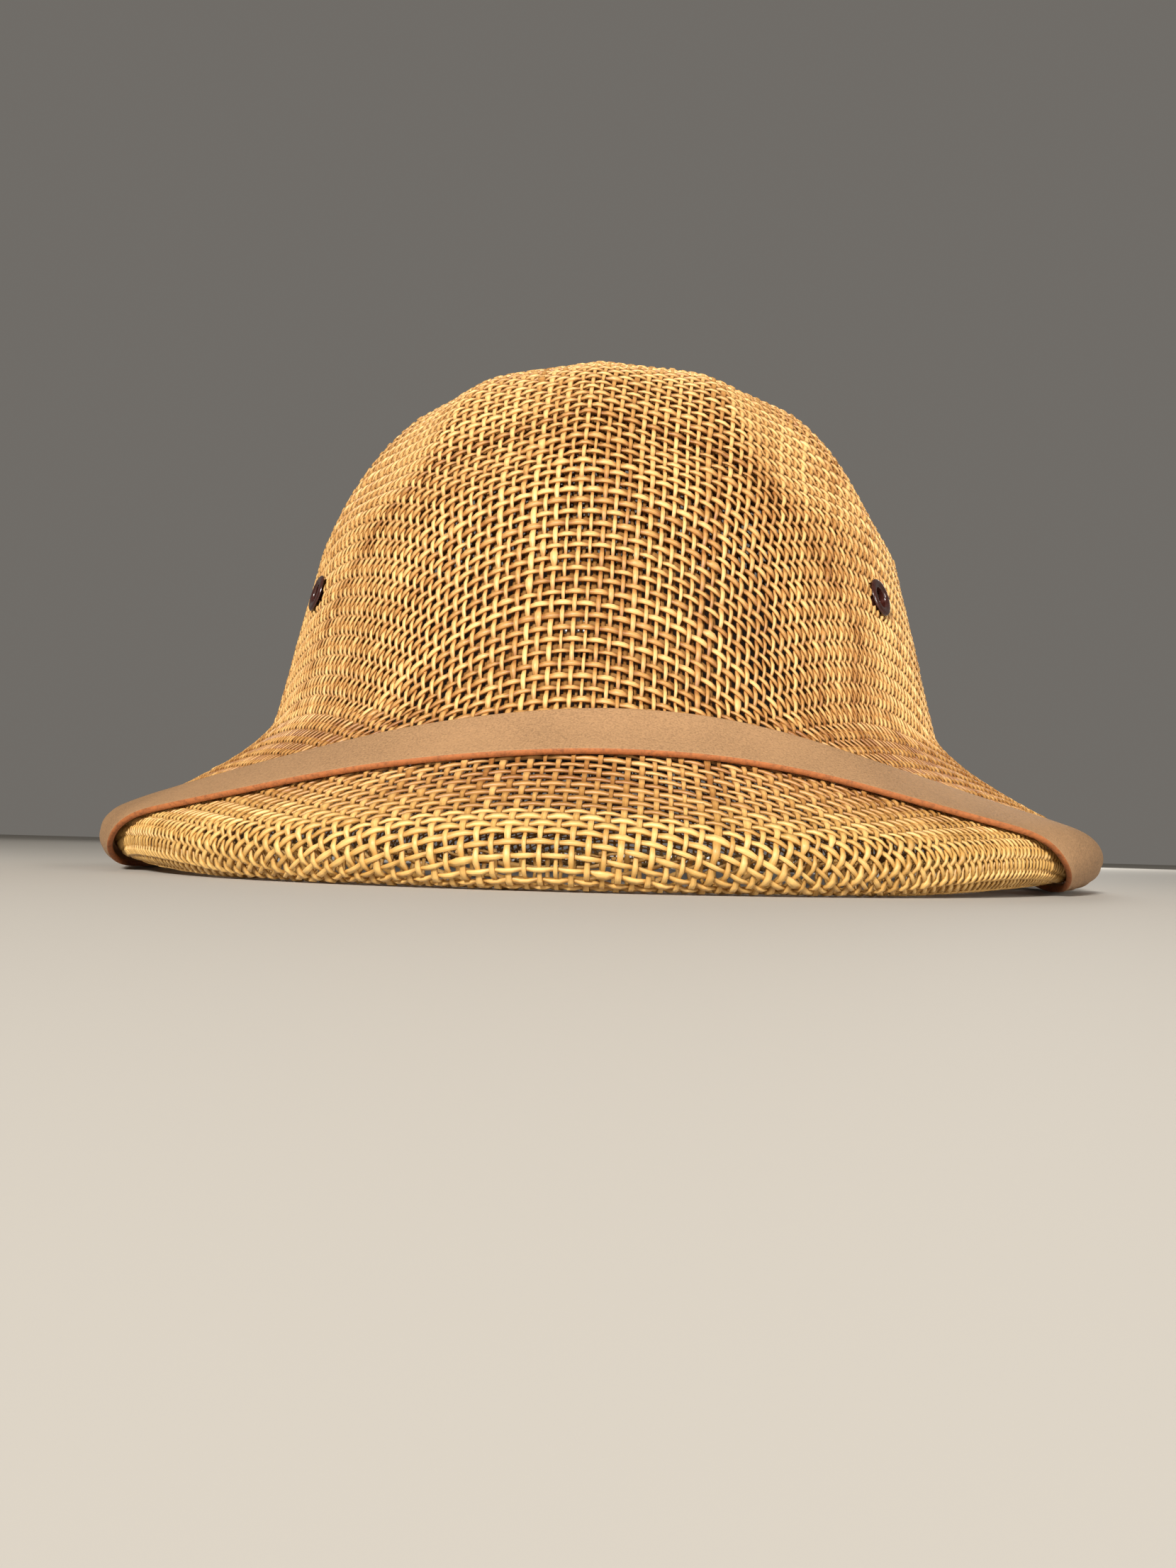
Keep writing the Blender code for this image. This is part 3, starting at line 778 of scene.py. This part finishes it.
def cord_lines(
    name, skin, p, q, blank, over, weave, depth, end_at, rings, seed, keep, shade=0.0, slack=0.0
):
    """Lines of one family of cords (axis 1 runs along a cord) with the attributes the sweep needs."""
    random = np.random.default_rng(seed)
    wander = soft_noise(random, p.shape, 34) * weave.wander
    tangent_p = np.gradient(p, axis=1)
    tangent_q = np.gradient(q, axis=1)
    size = np.hypot(tangent_p, tangent_q) + 1e-12
    p = p - tangent_q / size * wander
    q = q + tangent_p / size * wander
    shares = (-0.25, 0.25) if rings == 2 else (0.0,)
    flipped_p = p[:, ::-1]
    flipped_q = q[:, ::-1]
    cols_p = []
    cols_q = []
    for t in shares:
        if t < 0.0:
            cols_p.append(between(flipped_p, -t)[:, ::-1])
            cols_q.append(between(flipped_q, -t)[:, ::-1])
        elif t > 0.0:
            cols_p.append(between(p, t))
            cols_q.append(between(q, t))
        else:
            cols_p.append(p)
            cols_q.append(q)
    count, nodes = p.shape
    full_p = np.stack(cols_p, -1).reshape(count, -1)
    full_q = np.stack(cols_q, -1).reshape(count, -1)
    side = np.repeat(over, len(shares), axis=1)
    reach = np.hypot(full_p, full_q)
    points = skin.at(full_p, full_q)
    normals = skin.normal(full_p, full_q)
    along = unit(np.gradient(points, axis=1))
    apart = np.gradient(points, axis=0)
    apart = apart - (apart * along).sum(-1, keepdims=True) * along
    room = np.linalg.norm(apart, axis=-1) / weave.pitch
    points = points - normals * depth
    inside = (reach < end_at) & np.repeat(blank, len(shares), axis=1)
    for s in (-1.0, 1.0):
        spot, way = eyelet_seat(s)
        arm = points - np.array(spot)
        off = arm @ np.array(way)
        radial = np.linalg.norm(arm - off[..., None] * np.array(way), axis=-1)
        inside &= ~((np.linalg.norm(arm, axis=-1) < 0.02) & (radial < EYELET_BARREL_R + 0.0006))
    inside &= keep(full_p)
    slope = smooth((reach - skin.base_at) / 0.010) * (1.0 - smooth((reach - skin.rim_at + 0.022) / 0.016))
    side = side * (1.0 + slack * slope)
    wide = 1.0 + weave.width_spread * random.standard_normal((count, 1))
    wide = wide * (1.0 + 0.12 * soft_noise(random, full_p.shape, 60))
    slub = random.random((count, nodes)) < weave.slub_share
    slub = np.repeat(slub * random.uniform(0.25, 0.6, (count, nodes)), len(shares), axis=1)
    wide = np.clip(wide + slub, 0.62, 1.75) * (1.0 + 0.08 * side)
    wide = wide * np.clip(1.1 * room, 0.5, 1.12)
    tone = 0.5 + 0.16 * random.standard_normal((count, 1)) + 0.14 * soft_noise(random, full_p.shape, 40)
    # Painted shade: the cords are darker on the brim slope between the crown and the rim, and towards the
    # apex.
    tone = tone - 0.34 * slope - 0.12 * (1.0 - smooth(reach / 0.11))
    rim = smooth((reach - skin.rim_at + 0.035) / 0.04)
    used = inside.ravel()
    index = np.full(used.size, -1)
    index[used] = np.arange(used.sum())
    joined = inside[:, 1:] & inside[:, :-1]
    first = np.arange(used.size).reshape(inside.shape)[:, :-1][joined]
    edges = np.stack([index[first], index[first + 1]], -1)
    mesh = bpy.data.meshes.new(name)
    mesh.vertices.add(int(used.sum()))
    mesh.vertices.foreach_set("co", points.reshape(-1, 3)[used].astype(np.float32).ravel())
    mesh.edges.add(len(edges))
    mesh.edges.foreach_set("vertices", edges.astype(np.int32).ravel())
    for label, kind, values in (
        ("outward", "FLOAT_VECTOR", normals.reshape(-1, 3)),
        ("over", "FLOAT", side.ravel()),
        ("size", "FLOAT", np.broadcast_to(wide, full_p.shape).ravel()),
        ("tone", "FLOAT", tone.ravel()),
        ("rim", "FLOAT", rim.ravel()),
        ("shade", "FLOAT", np.full(full_p.size, shade)),
    ):
        layer = mesh.attributes.new(label, kind, "POINT")
        field = "vector" if kind == "FLOAT_VECTOR" else "value"
        layer.data.foreach_set(field, values[used].astype(np.float32).ravel())
    item = bpy.data.objects.new(name, mesh)
    bpy.context.scene.collection.objects.link(item)
    return item


class HelmetColors(bpy.types.PropertyGroup):
    straw_dark: FloatVectorProperty(
        name="Straw Shade", description="Darkest tone of the cords", subtype="COLOR", min=0, max=1,
        default=(0.29, 0.112, 0.025),
    )
    straw_mid: FloatVectorProperty(
        name="Straw", description="Usual tone of the cords", subtype="COLOR", min=0, max=1,
        default=(0.52, 0.262, 0.076),
    )
    straw_light: FloatVectorProperty(
        name="Straw Light", description="Palest tone of the cords", subtype="COLOR", min=0, max=1,
        default=(0.86, 0.53, 0.200),
    )
    straw_rim: FloatVectorProperty(
        name="Straw At The Rim", description="Yellower tone along the rolled rim", subtype="COLOR",
        min=0, max=1, default=(0.62, 0.39, 0.100),
    )
    # Painted shade: the crown's second ply is the same straw, drawn in this darker brown as it lies in the
    # outer ply's shade.
    straw_inner_shade: FloatVectorProperty(
        name="Inner Ply", description="Browner tone of the crown's second ply", subtype="COLOR", min=0, max=1,
        default=(0.165, 0.064, 0.014),
    )
    leather_face: FloatVectorProperty(
        name="Leather Face", description="Face of the strap", subtype="COLOR", min=0, max=1,
        default=(0.360, 0.208, 0.102),
    )
    leather_edge: FloatVectorProperty(
        name="Leather Edge", description="Cut edges of the strap", subtype="COLOR", min=0, max=1,
        default=(0.36, 0.115, 0.030),
    )
    eyelet: FloatVectorProperty(
        name="Eyelet", description="Lacquer of the eyelets", subtype="COLOR", min=0, max=1,
        default=(0.030, 0.007, 0.005),
    )
    band: FloatVectorProperty(
        name="Sweatband", description="Cloth of the sweatband", subtype="COLOR", min=0, max=1,
        default=(0.060, 0.030, 0.015),
    )
    floor: FloatVectorProperty(
        name="Floor", description="Pale floor and backdrop", subtype="COLOR", min=0, max=1,
        default=(0.50, 0.475, 0.435),
    )


class HelmetWeave(bpy.types.PropertyGroup):
    pitch: FloatProperty(
        name="Cord Pitch", description="Distance between cords before the weave is pressed", unit="LENGTH",
        default=0.0034, min=0.002, max=0.01,
    )
    cord_width: FloatProperty(
        name="Cord Width", description="Width of a cord across the shell", unit="LENGTH",
        default=0.00108, min=0.0005, max=0.005,
    )
    cord_thickness: FloatProperty(
        name="Cord Thickness", description="Thickness of a cord through the shell", unit="LENGTH",
        default=0.00074, min=0.0003, max=0.003,
    )
    wave_height: FloatProperty(
        name="Wave Height", description="How far a cord lifts over each crossing", unit="LENGTH",
        default=0.00038, min=0.0, max=0.002,
    )
    cross_bend: FloatProperty(
        name="Crosswise Bend", description="Wave of the crosswise cords as a share of the lengthwise ones'",
        default=0.58, min=0.0, max=2.0,
    )
    depth: FloatProperty(
        name="Weave Depth", description="Depth of the weave's middle below the outer skin", unit="LENGTH",
        default=0.00060, min=0.0, max=0.002,
    )
    inner_depth: FloatProperty(
        name="Inner Ply Depth", description="Depth of the crown's second ply below the outer skin",
        unit="LENGTH", default=0.0024, min=0.001, max=0.005,
    )
    wander: FloatProperty(
        name="Wander", description="How far a cord strays sideways", unit="LENGTH",
        default=0.00028, min=0.0, max=0.001,
    )
    width_spread: FloatProperty(
        name="Width Spread", description="Share by which cords differ in width",
        default=0.12, min=0.0, max=0.5,
    )
    slub_share: FloatProperty(
        name="Slub Share", description="Share of crossings where a cord is thick",
        default=0.03, min=0.0, max=0.5,
    )
    seed: IntProperty(name="Seed", description="Seed of the cords' small differences", default=7)


class HELMET_OT_weave(bpy.types.Operator):
    """Weave the straw cords of the crown, brim and rolled rim"""

    bl_idname = "helmet.weave_straw"
    bl_label = "Weave Straw"

    def execute(self, context):
        weave = context.scene.helmet_weave
        straw = straw_material(context.scene.helmet_colors)
        tree, inputs = cord_tree()
        p, q, blank = drape_net(weave.pitch, CORDS_ACROSS, CORDS_ALONG, BLANK_HALF_W, BLANK_HALF_L)
        skin = SkinTable(True)
        i = np.arange(p.shape[0])[:, None]
        j = np.arange(p.shape[1])[None, :]
        over = np.where((i + j) % 2 == 0, 1.0, -1.0)
        values = {
            "Cord Width": weave.cord_width,
            "Cord Thickness": weave.cord_thickness,
            "Wave Height": weave.wave_height,
            "Cord Sides": 4,
            "Material": straw,
        }
        # Name, crossings, names of the halves, seed, extra wave on the brim, share of the wave height
        families = (
            ("lengthwise_cords", (p, q, blank, over), ("left", "right"), weave.seed, 0.25, 1.0),
            (
                "crosswise_cords", (p.T, q.T, blank.T, -over.T), ("front", "back"), weave.seed + 1,
                -0.60, weave.cross_bend,
            ),
        )
        for label, (fp, fq, held, side), parts, seed, slack, bend in families:
            for part, keep in zip(parts, (first_half, second_half)):
                item = cord_lines(
                    f"{label}_{part}", skin, fp, fq, held, side, weave, weave.depth, skin.end_at, 2, seed,
                    keep, slack=slack,
                )
                run_nodes(item, tree, inputs, values | {"Wave Height": weave.wave_height * bend})
                put(item, "straw", "woven_shell")
        shift_p = between(between(p, 0.5).T, 0.5).T
        shift_q = between(between(q, 0.5).T, 0.5).T
        inner = dict(values)
        inner["Cord Width"] = weave.cord_width * 0.95
        inner["Wave Height"] = weave.wave_height * 0.75
        end_at = skin.base_at + INNER_OVERLAP
        for label, fp, fq, held, side in (
            ("inner_lengthwise_cords", shift_p, shift_q, blank, over),
            ("inner_crosswise_cords", shift_p.T, shift_q.T, blank.T, -over.T),
        ):
            item = cord_lines(
                label, skin, fp, fq, held, side, weave, weave.inner_depth, end_at, 1, weave.seed + 5,
                every_cord, shade=1.0,
            )
            run_nodes(item, tree, inputs, inner)
            put(item, "straw", "woven_shell")
        return {"FINISHED"}


def strap_support(s, az):
    """Surface the strap's inner face follows: 0-1 brim, 1-2 rim, 2-3 under the brim, 3-4 inner wall."""
    if s <= 1.0:
        return brim_point(max(s, 0.0), az)
    if s <= 2.0:
        loose = STRAP_RIM_CLEAR * smooth((s - 1.0) * 4.0)
        loose = loose + STRAP_RIM_LOOSE * math.sin(math.pi * (s - 1.0)) ** 2
        return roll_point(RIM_SLOPE + (math.pi - RIM_SLOPE) * (s - 1.0), az, loose)
    start = oval(RIM_HALF_W - RIM_ROLL_R, RIM_HALF_L - RIM_ROLL_R, rim_lift(az) - STRAP_RIM_CLEAR, az)
    lead_z = rim_lift(az) - STRAP_LEAD_DROP
    lead = oval(RIM_HALF_W - STRAP_LEAD_IN, RIM_HALF_L - STRAP_LEAD_IN, lead_z, az)
    turn = oval(BASE_HALF_W - STRAP_TURN_IN, BASE_HALF_L - STRAP_TURN_IN, BASE_Z - STRAP_TURN_DROP, az)
    wall_w = BASE_HALF_W * 0.985 - WALL - STRAP_WALL_CLEAR
    wall_l = BASE_HALF_L * 0.985 - WALL - STRAP_WALL_CLEAR
    low = oval(wall_w, wall_l, BASE_Z + 0.06 * CROWN_H, az)
    lean = (STRAP_END_Z - BASE_Z - 0.06 * CROWN_H) * 0.26
    high = oval(wall_w - lean, wall_l - lean, STRAP_END_Z, az)
    if s <= 3.0:
        t = s - 2.0
        a = (1 - t) ** 3
        b = 3 * t * (1 - t) ** 2
        c = 3 * t * t * (1 - t)
        return a * start + b * lead + c * turn + t**3 * low
    t = s - 3.0
    return low + (high - low) * t


def support_lengths():
    shares = np.linspace(0.0, 4.2, 1261)
    az = np.array(math.radians(64.0))
    points = np.array([strap_support(float(s), az) for s in shares])
    steps = np.linalg.norm(np.diff(points, axis=0), axis=1)
    return shares, np.concatenate([[0.0], np.cumsum(steps)])


SHARES, LENGTHS = support_lengths()


def support_at(length, az):
    return strap_support(float(np.interp(length, LENGTHS, SHARES)), az)


def strap_frame(length, az):
    here = support_at(length, az)
    along = support_at(length + MEASURE_STEP, az) - support_at(length - MEASURE_STEP, az)
    around = support_at(length, az + 0.004) - support_at(length, az - 0.004)
    return here, along / (2.0 * MEASURE_STEP), around / 0.008, unit(np.cross(along, around))


def strap_skew(az):
    """The strap's high point lies a little to one side; the shift fades out towards both rims."""
    return STRAP_SKEW * (1.0 - float(smooth(az / STRAP_SKEW_END)))


def strap_track(stations):
    """Evenly spaced stations (azimuth, length on the support) of the strap's middle line, end to end."""
    half = [(math.radians(a), float(np.interp(s, SHARES, LENGTHS)) / BASE_HALF_L) for a, s in STRAP_PATH]
    rows = [(strap_skew(a) - a, s) for a, s in half[:0:-1]]
    rows += [(strap_skew(a) + a, s) for a, s in half]
    fine = np.stack(curve(rows, np.linspace(0.0, 1.0, 2400)), -1)
    fine[:, 1] *= BASE_HALF_L
    points = np.array([support_at(s, np.array(a)) for a, s in fine])
    run = np.concatenate([[0.0], np.cumsum(np.linalg.norm(np.diff(points, axis=0), axis=1))])
    at = np.linspace(0.0, run[-1], stations)
    return np.interp(at, run, fine[:, 0]), np.interp(at, run, fine[:, 1])


class HELMET_OT_strap(bpy.types.Operator):
    """Lay the leather strap over the brim and round both side rims"""

    bl_idname = "helmet.lay_strap"
    bl_label = "Lay Strap"

    def execute(self, context):
        colors = context.scene.helmet_colors
        face = leather_material(colors)
        edge = raw_edge_material(colors)
        az, at = strap_track(360)
        # Share of the width, share of the thickness, round the section
        section = (
            (-0.485, 0.00), (-0.25, 0.0), (0.0, 0.0), (0.25, 0.0), (0.485, 0.00), (0.5, 0.12), (0.5, 0.84),
            (0.485, 0.97), (0.46, 1.00), (0.25, 1.01), (0.0, 1.015), (-0.25, 1.01), (-0.46, 1.00),
            (-0.485, 0.97), (-0.5, 0.84), (-0.5, 0.12),
        )
        rings = []
        for k in range(len(az)):
            i = max(k - 1, 0)
            j = min(k + 1, len(az) - 1)
            _, along, around, normal = strap_frame(at[k], np.array(az[k]))
            heading = unit(along * (at[j] - at[i]) + around * (az[j] - az[i]))
            across = unit(np.cross(normal, heading))
            move = np.linalg.lstsq(np.stack([along, around], -1), across, rcond=None)[0]
            ring = []
            for w, t in section:
                there = float(at[k] + move[0] * w * STRAP_W)
                turned = np.array(float(az[k] + move[1] * w * STRAP_W))
                spot, _, _, n = strap_frame(there, turned)
                ring.append(spot + n * (STRAP_SEAT + STRAP_T * t))
            rings.append(ring)
        grid = np.array(rings)
        for _ in range(2):
            grid[1:-1] = 0.25 * grid[:-2] + 0.5 * grid[1:-1] + 0.25 * grid[2:]
        count, ring_size, _ = grid.shape
        faces = []
        kinds = []
        for i in range(count - 1):
            for j in range(ring_size):
                n = (j + 1) % ring_size
                a = i * ring_size
                b = a + ring_size
                faces.append((a + j, a + n, b + n, b + j))
                kinds.append(1 if j in (4, 5, 6, 13, 14, 15) else 0)
        faces.append(tuple(range(ring_size - 1, -1, -1)))
        faces.append(tuple(range((count - 1) * ring_size, count * ring_size)))
        kinds += [1, 1]
        strap = mesh_object("leather_strap", grid.reshape(-1, 3), faces, [face, edge], kinds)
        fix_normals(strap)
        put(strap, "strap_leather", "chin_strap")
        return {"FINISHED"}


def fix_normals(item):
    work = bmesh.new()
    work.from_mesh(item.data)
    bmesh.ops.recalc_face_normals(work, faces=work.faces)
    if work.calc_volume(signed=True) < 0.0:
        bmesh.ops.reverse_faces(work, faces=work.faces)
    work.to_mesh(item.data)
    work.free()


class HELMET_OT_eyelets(bpy.types.Operator):
    """Set the two vent eyelets in the crown"""

    bl_idname = "helmet.set_eyelets"
    bl_label = "Set Eyelets"

    def execute(self, context):
        enamel = enamel_material(context.scene.helmet_colors)
        sides = 56
        seat = EYELET_SEAT
        mid = 0.5 * (EYELET_HOLE_R + EYELET_R)
        half = 0.5 * (EYELET_R - EYELET_HOLE_R)
        for name, side in (("eyelet_lip_left", -1.0), ("eyelet_lip_right", 1.0)):
            point, normal = eyelet_seat(side)
            matrix = frame_at(point, normal)
            profile = []
            for k in range(13):
                a = math.pi * k / 12
                profile.append((mid + half * math.cos(a), seat + 0.0008 * math.sin(a)))
            profile += [(EYELET_HOLE_R, -WALL - seat), (EYELET_HOLE_R + 0.0004, -WALL - seat - 0.0007)]
            profile += [(EYELET_R * 0.86, -WALL - seat - 0.0007), (EYELET_R * 0.93, -WALL - seat)]
            profile += [(EYELET_BARREL_R, -WALL - seat), (EYELET_BARREL_R, seat)]
            vertices = []
            for r, z in profile:
                for k in range(sides):
                    a = 2.0 * math.pi * k / sides
                    vertices.append(matrix @ Vector((r * math.cos(a), r * math.sin(a), z)))
            faces = []
            for i in range(len(profile)):
                n = (i + 1) % len(profile)
                for k in range(sides):
                    m = (k + 1) % sides
                    faces.append((i * sides + k, i * sides + m, n * sides + m, n * sides + k))
            item = mesh_object(name, vertices, faces, [enamel])
            fix_normals(item)
            put(item, "eyelet_enamel", "eyelet_left" if side < 0 else "eyelet_right")
        return {"FINISHED"}


class HELMET_OT_sweatband(bpy.types.Operator):
    """Fit the dark sweatband inside the crown"""

    bl_idname = "helmet.fit_sweatband"
    bl_label = "Fit Sweatband"

    def execute(self, context):
        cloth = cloth_material(context.scene.helmet_colors)
        low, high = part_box("sweatband")
        half_w = high.x
        half_l = high.y
        hem = 0.0006
        steps = 180
        outline = [
            (-hem, low.z), (0.0, low.z + hem), (0.0, low.z + 0.0040), (-hem * 0.6, low.z + 0.0046),
            (-hem * 0.6, high.z - 0.0046), (0.0, high.z - 0.0040), (0.0, high.z - hem), (-hem, high.z),
            (-BAND_T, high.z), (-BAND_T, low.z),
        ]
        vertices = []
        for off, z in outline:
            for k in range(steps):
                a = 2.0 * math.pi * k / steps
                vertices.append(((half_w + off) * math.sin(a), -(half_l + off) * math.cos(a), z))
        faces = []
        uv = []
        girth = 2.0 * math.pi * 0.5 * (half_w + half_l)
        for i in range(len(outline)):
            n = (i + 1) % len(outline)
            for k in range(steps):
                m = (k + 1) % steps
                faces.append((i * steps + k, i * steps + m, n * steps + m, n * steps + k))
                u0 = girth * k / steps
                u1 = girth * (k + 1) / steps
                v0 = outline[i][1] + outline[i][0]
                v1 = outline[n][1] + outline[n][0]
                uv += [(u0, v0), (u1, v0), (u1, v1), (u0, v1)]
        item = mesh_object("sweatband_cloth", vertices, faces, [cloth], None, uv)
        if signed_volume(item.data) < 0.0:
            item.data.flip_normals()
        put(item, "band_cloth", "sweatband")
        return {"FINISHED"}


def signed_volume(mesh):
    total = 0.0
    for polygon in mesh.polygons:
        points = [mesh.vertices[i].co for i in polygon.vertices]
        for k in range(1, len(points) - 1):
            total += points[0].dot(points[k].cross(points[k + 1]))
    return total / 6.0


class HELMET_OT_pins(bpy.types.Operator):
    """Give the hidden pins their steel"""

    bl_idname = "helmet.finish_pins"
    bl_label = "Finish Pins"

    def execute(self, context):
        steel = steel_material()
        for name in ("post_left", "post_right", "post_front", "post_back"):
            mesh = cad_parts[name].data
            mesh.materials.clear()
            mesh.materials.append(steel)
        return {"FINISHED"}


class HELMET_OT_stage(bpy.types.Operator):
    """Add the floor, lights and camera"""

    bl_idname = "helmet.set_stage"
    bl_label = "Set Stage"

    def execute(self, context):
        colors = context.scene.helmet_colors
        corners = [(FLOOR_HALF * x, FLOOR_HALF * y, FLOOR_Z) for x, y in ((-1, -1), (1, -1), (1, 1), (-1, 1))]
        floor = mesh_object("floor", corners, [(0, 1, 2, 3)], [floor_material(colors)], shade_smooth=False)
        world = bpy.data.worlds.new("soft studio")
        world.use_nodes = True
        world.node_tree.nodes["Background"].inputs["Color"].default_value = (0.90, 0.84, 0.76, 1.0)
        world.node_tree.nodes["Background"].inputs["Strength"].default_value = 0.18
        context.scene.world = world
        context.scene.view_settings.view_transform = "Standard"
        for name, place, power, size, tint in (
            ("key_light", (-0.24, -1.30, 0.60), 27.0, 0.25, (1.0, 0.96, 0.90)),
            ("fill_light", (1.05, -1.0, 0.30), 9.0, 0.5, (1.0, 0.97, 0.92)),
            ("back_light", (0.3, 1.5, 0.45), 9.0, 0.8, (1.0, 0.97, 0.92)),
        ):
            data = bpy.data.lights.new(name, "AREA")
            data.energy = power
            data.size = size
            data.color = tint
            light = bpy.data.objects.new(name, data)
            light.location = place
            aim = Vector((0.0, 0.0, 0.08)) - Vector(place)
            light.rotation_euler = aim.to_track_quat("-Z", "Y").to_euler()
            context.scene.collection.objects.link(light)
        data = bpy.data.cameras.new("camera")
        data.sensor_fit = "HORIZONTAL"
        data.sensor_width = SENSOR_W
        data.lens = SENSOR_W * FOCAL_PX / FRAME_W_PX
        data.clip_start = 0.01
        turn = math.radians(5.0)
        tilt = math.radians(3.12)
        lean = math.radians(1.5)
        reach = 0.4195
        shift = 0.0058
        height = 0.009
        side = Vector((math.cos(turn), math.sin(turn), 0.0))
        ahead = Vector((-math.sin(turn) * math.cos(tilt), math.cos(turn) * math.cos(tilt), math.sin(tilt)))
        top = side.cross(ahead)
        right = side * math.cos(lean) + top * math.sin(lean)
        up = top * math.cos(lean) - side * math.sin(lean)
        place = Vector((math.sin(turn), -math.cos(turn), 0.0)) * reach - side * shift
        place.z = height
        matrix = Matrix((right, up, -ahead)).transposed().to_4x4()
        matrix.translation = place
        camera = bpy.data.objects.new("camera", data)
        camera.matrix_world = matrix
        context.scene.collection.objects.link(camera)
        context.scene.camera = camera
        return {"FINISHED"}


class HELMET_PT_panel(bpy.types.Panel):
    bl_idname = "HELMET_PT_panel"
    bl_label = "Sun Helmet"
    bl_space_type = "VIEW_3D"
    bl_region_type = "UI"
    bl_category = "Sun Helmet"

    def draw(self, context):
        layout = self.layout
        for group in (context.scene.helmet_colors, context.scene.helmet_weave):
            box = layout.box()
            for name in group.__annotations__:
                box.prop(group, name)
        for kind in OPERATORS:
            layout.operator(kind.bl_idname)


OPERATORS = (
    HELMET_OT_weave,
    HELMET_OT_strap,
    HELMET_OT_eyelets,
    HELMET_OT_sweatband,
    HELMET_OT_pins,
    HELMET_OT_stage,
)
CLASSES = (HelmetColors, HelmetWeave, *OPERATORS, HELMET_PT_panel)


def register():
    for kind in CLASSES:
        bpy.utils.register_class(kind)
    bpy.types.Scene.helmet_colors = PointerProperty(type=HelmetColors)
    bpy.types.Scene.helmet_weave = PointerProperty(type=HelmetWeave)


def unregister():
    del bpy.types.Scene.helmet_weave
    del bpy.types.Scene.helmet_colors
    for kind in reversed(CLASSES):
        bpy.utils.unregister_class(kind)


def main():
    register()
    bpy.ops.helmet.weave_straw()
    bpy.ops.helmet.lay_strap()
    bpy.ops.helmet.set_eyelets()
    bpy.ops.helmet.fit_sweatband()
    bpy.ops.helmet.finish_pins()
    bpy.ops.helmet.set_stage()


if __name__ == "__main__":
    main()
